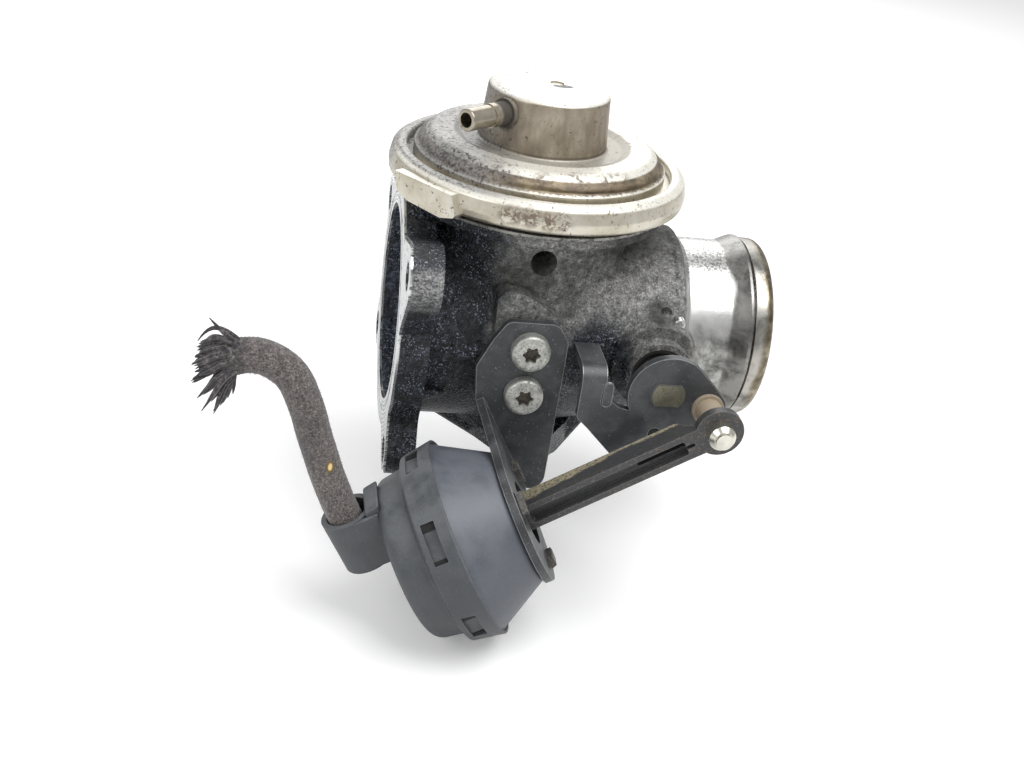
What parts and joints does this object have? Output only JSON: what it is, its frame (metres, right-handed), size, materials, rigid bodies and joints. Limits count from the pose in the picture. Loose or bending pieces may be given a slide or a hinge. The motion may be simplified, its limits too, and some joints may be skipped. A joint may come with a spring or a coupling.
{
  "type": "egr valve",
  "caption": "Vacuum operated EGR valve with a cast intake duct, throttle flap, lever linkage, plastic vacuum actuator on a bracket and a braided hose stub.",
  "frame": {"origin": "centre of the intake bore on the outer face of the manifold gasket", "axes": "+X along the duct from the manifold flange to the hose spigot, +Z along the valve stem towards the diaphragm can, -Y towards the flap linkage"},
  "size_m": [0.1716, 0.1424, 0.1513],
  "materials": {
    "cast_aluminium": "rough cast, sooty near the manifold",
    "gasket_steel": "satin",
    "can_steel": "satin, stained",
    "nipple_steel": "satin, stained",
    "zinc_steel": "dull zinc",
    "shaft_zinc": "yellow zinc",
    "pin_steel": "polished",
    "spring_steel": "dull",
    "stainless": "satin",
    "guide_bronze": "satin",
    "flap_brass": "satin",
    "diaphragm_rubber": "matte",
    "seal_rubber": "matte",
    "black_coat": "satin black",
    "actuator_plastic": "satin dark blue-grey",
    "rod_plastic": "satin black",
    "hose_braid": "woven textile"
  },
  "bodies": {
    "housing": {"housing": "cast_aluminium", "manifold_gasket": "gasket_steel", "can_gasket": "gasket_steel", "egr_can_lower": "can_steel", "egr_can_upper": "can_steel", "egr_vacuum_nipple": "nipple_steel", "can_rivets": "zinc_steel", "egr_diaphragm": "diaphragm_rubber", "egr_spring": "spring_steel", "egr_seat_ring": "stainless", "egr_stem_guide": "guide_bronze", "shaft_bush_front": "guide_bronze", "shaft_bush_rear": "guide_bronze", "shaft_seal": "seal_rubber", "shaft_end_plug": "zinc_steel", "actuator_cup": "actuator_plastic", "actuator_cap": "actuator_plastic", "actuator_diaphragm": "diaphragm_rubber", "actuator_spring": "spring_steel", "actuator_bracket": "black_coat", "bracket_screws": "zinc_steel", "vacuum_hose": "hose_braid"},
    "egr_valve": {"egr_stem": "stainless", "egr_stem_nut": "zinc_steel", "egr_diaphragm_plate": "zinc_steel", "egr_poppet": "stainless"},
    "flap": {"flap_shaft": "shaft_zinc", "throttle_flap": "flap_brass", "flap_screws": "zinc_steel", "flap_lever": "black_coat", "lever_pin": "pin_steel"},
    "rod": {"actuator_rod": "rod_plastic"},
    "actuator_piston": {"actuator_plate": "rod_plastic"}
  },
  "joints": [
    {"name": "egr_lift", "type": "slide", "parent": "housing", "child": "egr_valve", "axis": [0, 0, 1], "range_m": [0, 0.005], "stiffness_N_per_m": 1500, "springref_m": -0.005, "deforming": ["egr_spring", "egr_diaphragm"]},
    {"name": "flap_turn", "type": "hinge", "parent": "housing", "child": "flap", "pos_m": [0.0808, 0, 0], "axis": [0, 1, 0], "range_deg": [0, 80]},
    {"name": "rod_swing", "type": "hinge", "parent": "flap", "child": "rod", "pos_m": [0.0936, -0.065, -0.0034], "axis": [0, 1, 0], "range_deg": [-78, 1]},
    {"name": "actuator_stroke", "type": "slide", "parent": "housing", "child": "actuator_piston", "axis": [-0.8725, 0, -0.4886], "range_m": [0, 0.0168], "stiffness_N_per_m": 150, "springref_m": -0.02, "deforming": ["actuator_spring", "actuator_diaphragm"]}
  ],
  "couplings": [
    {"joint": "flap_turn", "follows": "actuator_stroke", "rad_per_m": 82.7},
    {"joint": "rod_swing", "follows": "actuator_stroke", "rad_per_m": -79.6}
  ]
}
